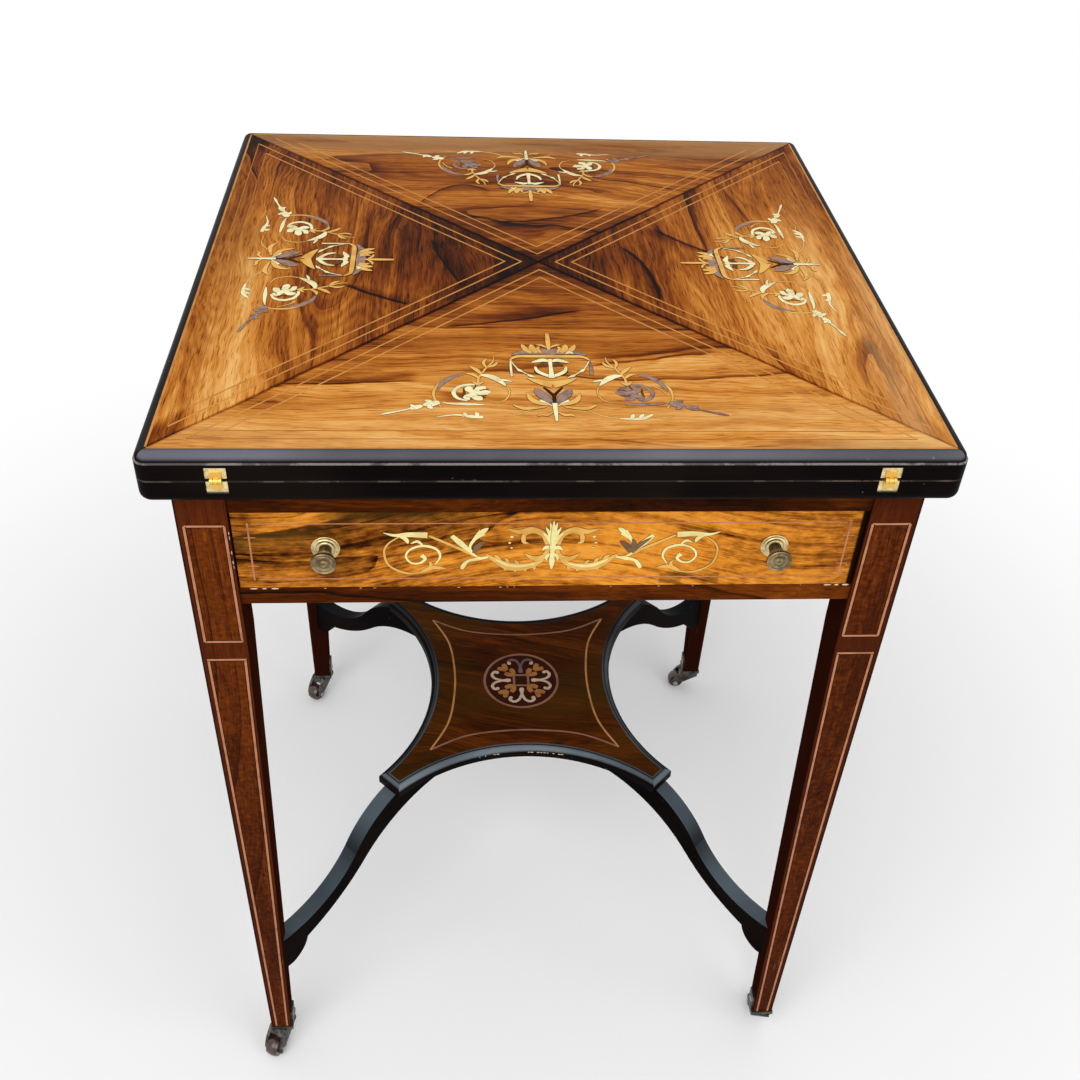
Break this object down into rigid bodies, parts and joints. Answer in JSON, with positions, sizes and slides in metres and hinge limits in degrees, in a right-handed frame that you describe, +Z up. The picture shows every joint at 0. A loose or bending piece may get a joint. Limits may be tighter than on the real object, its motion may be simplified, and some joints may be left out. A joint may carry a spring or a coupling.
{
  "type": "envelope card table",
  "caption": "Rosewood envelope card table: inlaid triangular flaps fold out from a swivelling top, over a frieze drawer, tapered legs on castors and a shelf on crossed stretchers.",
  "frame": {"origin": "on the floor, under the middle of the top", "axes": "+Z up, -Y towards the drawer front, +X to the right seen from the front"},
  "size_m": [0.5546, 0.5546, 0.758],
  "materials": {
    "rosewood": "polished rosewood veneer with inlay",
    "ebonised_wood": "ebonised and polished",
    "lining_wood": "plain oiled",
    "baize": "green baize",
    "leather": "plain",
    "brass": "polished",
    "castor_brass": "dull, aged",
    "castor_wheel": "brown, glazed",
    "steel": "plain"
  },
  "bodies": {
    "frame": {"leg_front_left": "rosewood", "leg_front_right": "rosewood", "leg_back_left": "rosewood", "leg_back_right": "rosewood", "side_rail_left": "rosewood", "side_rail_right": "rosewood", "back_rail": "rosewood", "drawer_top_rail": "rosewood", "drawer_bottom_rail": "rosewood", "drawer_runners": "lining_wood", "pivot_board": "lining_wood", "slip_pads": "leather", "stretcher_rising": "ebonised_wood", "stretcher_falling": "ebonised_wood", "undershelf": "rosewood", "undershelf_moulding": "ebonised_wood", "castor_plates": "castor_brass", "frame_screws": "steel"},
    "top": {"bed": "ebonised_wood", "bed_baize": "baize", "hinge_bed_leaves": "brass", "hinge_pins": "brass", "swivel_plate": "steel", "swivel_screws": "steel", "swivel_washer": "steel", "swivel_nut": "steel"},
    "flap_front": {"flap_board_front": "rosewood", "flap_moulding_front": "ebonised_wood", "flap_baize_front": "baize", "hinge_flap_leaves_front": "brass"},
    "flap_right": {"flap_board_right": "rosewood", "flap_moulding_right": "ebonised_wood", "flap_baize_right": "baize", "hinge_flap_leaves_right": "brass"},
    "flap_back": {"flap_board_back": "rosewood", "flap_moulding_back": "ebonised_wood", "flap_baize_back": "baize", "hinge_flap_leaves_back": "brass"},
    "flap_left": {"flap_board_left": "rosewood", "flap_moulding_left": "ebonised_wood", "flap_baize_left": "baize", "hinge_flap_leaves_left": "brass"},
    "drawer": {"drawer_front": "rosewood", "drawer_sides": "lining_wood", "drawer_back": "lining_wood", "drawer_bottom": "lining_wood", "drawer_knobs": "brass", "knob_roses": "brass"},
    "castor_swivel_front_left": {"castor_horn_front_left": "castor_brass", "castor_axle_front_left": "castor_brass"},
    "castor_roll_front_left": {"castor_wheel_front_left": "castor_wheel"},
    "castor_swivel_front_right": {"castor_horn_front_right": "castor_brass", "castor_axle_front_right": "castor_brass"},
    "castor_roll_front_right": {"castor_wheel_front_right": "castor_wheel"},
    "castor_swivel_back_left": {"castor_horn_back_left": "castor_brass", "castor_axle_back_left": "castor_brass"},
    "castor_roll_back_left": {"castor_wheel_back_left": "castor_wheel"},
    "castor_swivel_back_right": {"castor_horn_back_right": "castor_brass", "castor_axle_back_right": "castor_brass"},
    "castor_roll_back_right": {"castor_wheel_back_right": "castor_wheel"}
  },
  "joints": [
    {"name": "top_swivel", "type": "hinge", "parent": "frame", "child": "top", "pos_m": [0, 0, 0.7175], "axis": [0, 0, 1], "range_deg": [0, 45]},
    {"name": "flap_hinge_front", "type": "hinge", "parent": "top", "child": "flap_front", "pos_m": [0, -0.275, 0.738], "axis": [1, 0, 0], "range_deg": [0, 180]},
    {"name": "flap_hinge_right", "type": "hinge", "parent": "top", "child": "flap_right", "pos_m": [0.275, 0, 0.738], "axis": [0, 1, 0], "range_deg": [0, 180]},
    {"name": "flap_hinge_back", "type": "hinge", "parent": "top", "child": "flap_back", "pos_m": [0, 0.275, 0.738], "axis": [-1, 0, 0], "range_deg": [0, 180]},
    {"name": "flap_hinge_left", "type": "hinge", "parent": "top", "child": "flap_left", "pos_m": [-0.275, 0, 0.738], "axis": [0, -1, 0], "range_deg": [0, 180]},
    {"name": "drawer_slide", "type": "slide", "parent": "frame", "child": "drawer", "axis": [0, -1, 0], "range_m": [0, 0.3]},
    {"name": "castor_swivel_front_left", "type": "hinge", "parent": "frame", "child": "castor_swivel_front_left", "pos_m": [-0.2485, -0.2485, 0.0315], "axis": [0, 0, 1], "continuous": true},
    {"name": "castor_roll_front_left", "type": "hinge", "parent": "castor_swivel_front_left", "child": "castor_roll_front_left", "pos_m": [-0.2559, -0.26436, 0.0105], "axis": [0.9063, -0.4226, 0], "continuous": true},
    {"name": "castor_swivel_front_right", "type": "hinge", "parent": "frame", "child": "castor_swivel_front_right", "pos_m": [0.2485, -0.2485, 0.0315], "axis": [0, 0, 1], "continuous": true},
    {"name": "castor_roll_front_right", "type": "hinge", "parent": "castor_swivel_front_right", "child": "castor_roll_front_right", "pos_m": [0.25154, -0.23127, 0.0105], "axis": [-0.9848, 0.1736, 0], "continuous": true},
    {"name": "castor_swivel_back_left", "type": "hinge", "parent": "frame", "child": "castor_swivel_back_left", "pos_m": [-0.2485, 0.2485, 0.0315], "axis": [0, 0, 1], "continuous": true},
    {"name": "castor_roll_back_left", "type": "hinge", "parent": "castor_swivel_back_left", "child": "castor_roll_back_left", "pos_m": [-0.25777, 0.23366, 0.0105], "axis": [0.848, -0.5299, 0], "continuous": true},
    {"name": "castor_swivel_back_right", "type": "hinge", "parent": "frame", "child": "castor_swivel_back_right", "pos_m": [0.2485, 0.2485, 0.0315], "axis": [0, 0, 1], "continuous": true},
    {"name": "castor_roll_back_right", "type": "hinge", "parent": "castor_swivel_back_right", "child": "castor_roll_back_right", "pos_m": [0.23117, 0.25094, 0.0105], "axis": [-0.1392, -0.9903, 0], "continuous": true}
  ]
}
